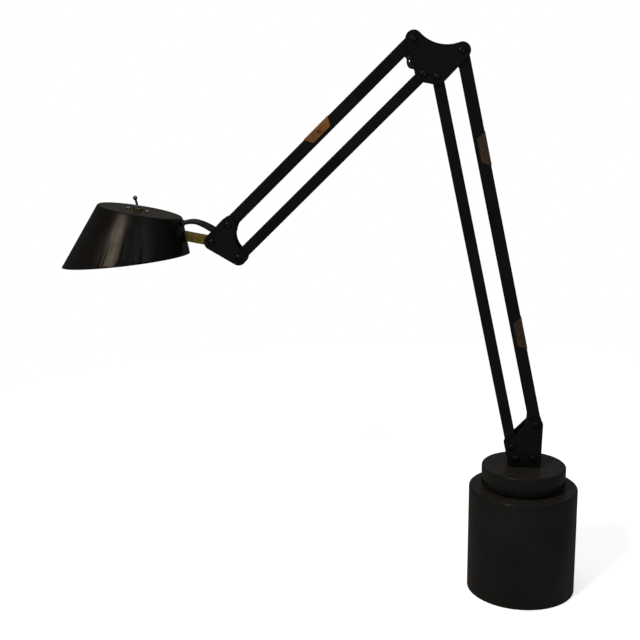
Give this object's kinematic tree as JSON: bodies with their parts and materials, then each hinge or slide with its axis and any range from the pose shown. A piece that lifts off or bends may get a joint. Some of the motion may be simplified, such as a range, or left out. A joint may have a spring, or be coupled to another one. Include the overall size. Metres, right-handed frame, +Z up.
{
  "type": "desk lamp",
  "caption": "Desk lamp with a short slanted conical shade, two parallel-linkage arms and a weighted drum base with a turntable.",
  "frame": {"origin": "on the swivel axis, on the underside of the rubber foot pad", "axes": "+Z is up. The arms lie in the XZ plane, with the shade toward -X and the cord inlet at +Y."},
  "size_m": [0.5222, 0.1232, 0.5655],
  "materials": {
    "black_paint": "satin",
    "plate_paint": "satin",
    "shade_paint": "satin",
    "zinc": "satin",
    "dark_zinc": "satin",
    "bright_steel": "polished",
    "yellow_zinc": "satin",
    "rubber_black": "matte",
    "lead_black": "satin",
    "iron": "matte",
    "core_steel": "satin",
    "copper_wire": "satin",
    "cream_plastic": "matte",
    "white_plastic": "matte",
    "bronze": "satin",
    "tan_sheet": "satin",
    "dark_pin": "satin",
    "spring_steel": "satin",
    "switch_black": "satin",
    "bare_aluminium": "polished",
    "lamp_glass": "polished"
  },
  "bodies": {
    "base": {"base_shell": "black_paint", "base_plate": "zinc", "foot_pad": "rubber_black", "tie_rods": "zinc", "ballast": "iron", "transformer_core": "core_steel", "transformer_winding": "copper_wire", "terminal_block": "cream_plastic", "inlet_grommet": "rubber_black", "swivel_bush": "white_plastic", "stop_pin": "zinc", "lead_base": "lead_black"},
    "turret": {"turntable": "black_paint", "spindle": "zinc", "spindle_nut": "zinc", "bracket_foot": "plate_paint", "base_cheek_front": "plate_paint", "base_cheek_back": "plate_paint", "foot_screws": "dark_zinc", "base_pivot_bolts": "dark_zinc", "base_washers": "zinc", "base_crank": "zinc", "lead_foot": "lead_black"},
    "lower_outer": {"lower_outer_bar": "black_paint", "lower_saddles": "tan_sheet", "lower_saddle_pins": "dark_pin", "lower_spring_top": "spring_steel", "lower_spring_foot": "spring_steel", "lead_lower": "lead_black"},
    "lower_inner": {"lower_inner_bar": "black_paint", "lower_inner_bushes": "bronze"},
    "elbow": {"elbow_cheek_front": "plate_paint", "elbow_cheek_back": "plate_paint", "elbow_pivot_bolts": "dark_zinc", "elbow_washers": "zinc", "elbow_cranks": "zinc", "lead_elbow": "lead_black"},
    "upper_outer": {"upper_outer_bar": "black_paint", "upper_saddle": "tan_sheet", "upper_saddle_pin": "dark_pin", "upper_spring": "spring_steel", "lead_upper": "lead_black"},
    "upper_inner": {"upper_inner_bar": "black_paint", "upper_inner_bushes": "bronze"},
    "head_bracket": {"head_cheek_front": "plate_paint", "head_cheek_back": "plate_paint", "head_pivot_bolts": "dark_zinc", "head_washers": "zinc", "lead_wrist": "lead_black"},
    "head": {"head_link": "yellow_zinc", "shade": "shade_paint", "shade_grommet": "rubber_black", "top_screws": "bright_steel", "lampholder": "cream_plastic", "bulb": "lamp_glass", "reflector": "bare_aluminium", "switch_body": "switch_black", "switch_nut": "yellow_zinc", "lead_arc": "lead_black"},
    "toggle_lever_body": {"toggle_lever": "bright_steel"}
  },
  "joints": [
    {"name": "swivel", "type": "hinge", "parent": "base", "child": "turret", "pos_m": [0, 0, 0.112], "axis": [0, 0, 1], "range_deg": [-170, 170]},
    {"name": "lower_lean", "type": "hinge", "parent": "turret", "child": "lower_outer", "pos_m": [0.0099, 0, 0.1796], "axis": [0, 1, 0], "range_deg": [-50, 25], "deforming": ["lower_spring_foot", "lead_foot"]},
    {"name": "lower_inner_follow", "type": "hinge", "parent": "turret", "child": "lower_inner", "pos_m": [-0.01302, 0, 0.15586], "axis": [0, 1, 0], "range_deg": [-50, 25]},
    {"name": "elbow_level", "type": "hinge", "parent": "lower_outer", "child": "elbow", "pos_m": [-0.06999, 0, 0.54599], "axis": [0, 1, 0], "range_deg": [-25, 50], "deforming": ["lower_spring_top", "lead_elbow"]},
    {"name": "upper_lean", "type": "hinge", "parent": "elbow", "child": "upper_outer", "pos_m": [-0.11559, 0, 0.55736], "axis": [0, 1, 0], "range_deg": [-30, 55], "deforming": ["upper_spring"]},
    {"name": "upper_inner_follow", "type": "hinge", "parent": "elbow", "child": "upper_inner", "pos_m": [-0.10588, 0, 0.52478], "axis": [0, 1, 0], "range_deg": [-30, 55]},
    {"name": "head_level", "type": "hinge", "parent": "upper_outer", "child": "head_bracket", "pos_m": [-0.29697, 0, 0.38098], "axis": [0, 1, 0], "range_deg": [-55, 30], "deforming": ["lead_wrist"]},
    {"name": "head_tilt", "type": "hinge", "parent": "head_bracket", "child": "head", "pos_m": [-0.31376, 0, 0.36383], "axis": [0, 1, 0], "range_deg": [-60, 50], "deforming": ["lead_arc"]},
    {"name": "toggle", "type": "hinge", "parent": "head", "child": "toggle_lever_body", "pos_m": [-0.38894, 0.00069, 0.39702], "axis": [-0.0067, 0.9993, -0.036], "range_deg": [0, 50]}
  ],
  "couplings": [
    {"joint": "lower_inner_follow", "follows": "lower_lean", "ratio": 1},
    {"joint": "elbow_level", "follows": "lower_lean", "ratio": -1},
    {"joint": "upper_inner_follow", "follows": "upper_lean", "ratio": 1},
    {"joint": "head_level", "follows": "upper_lean", "ratio": -1}
  ]
}
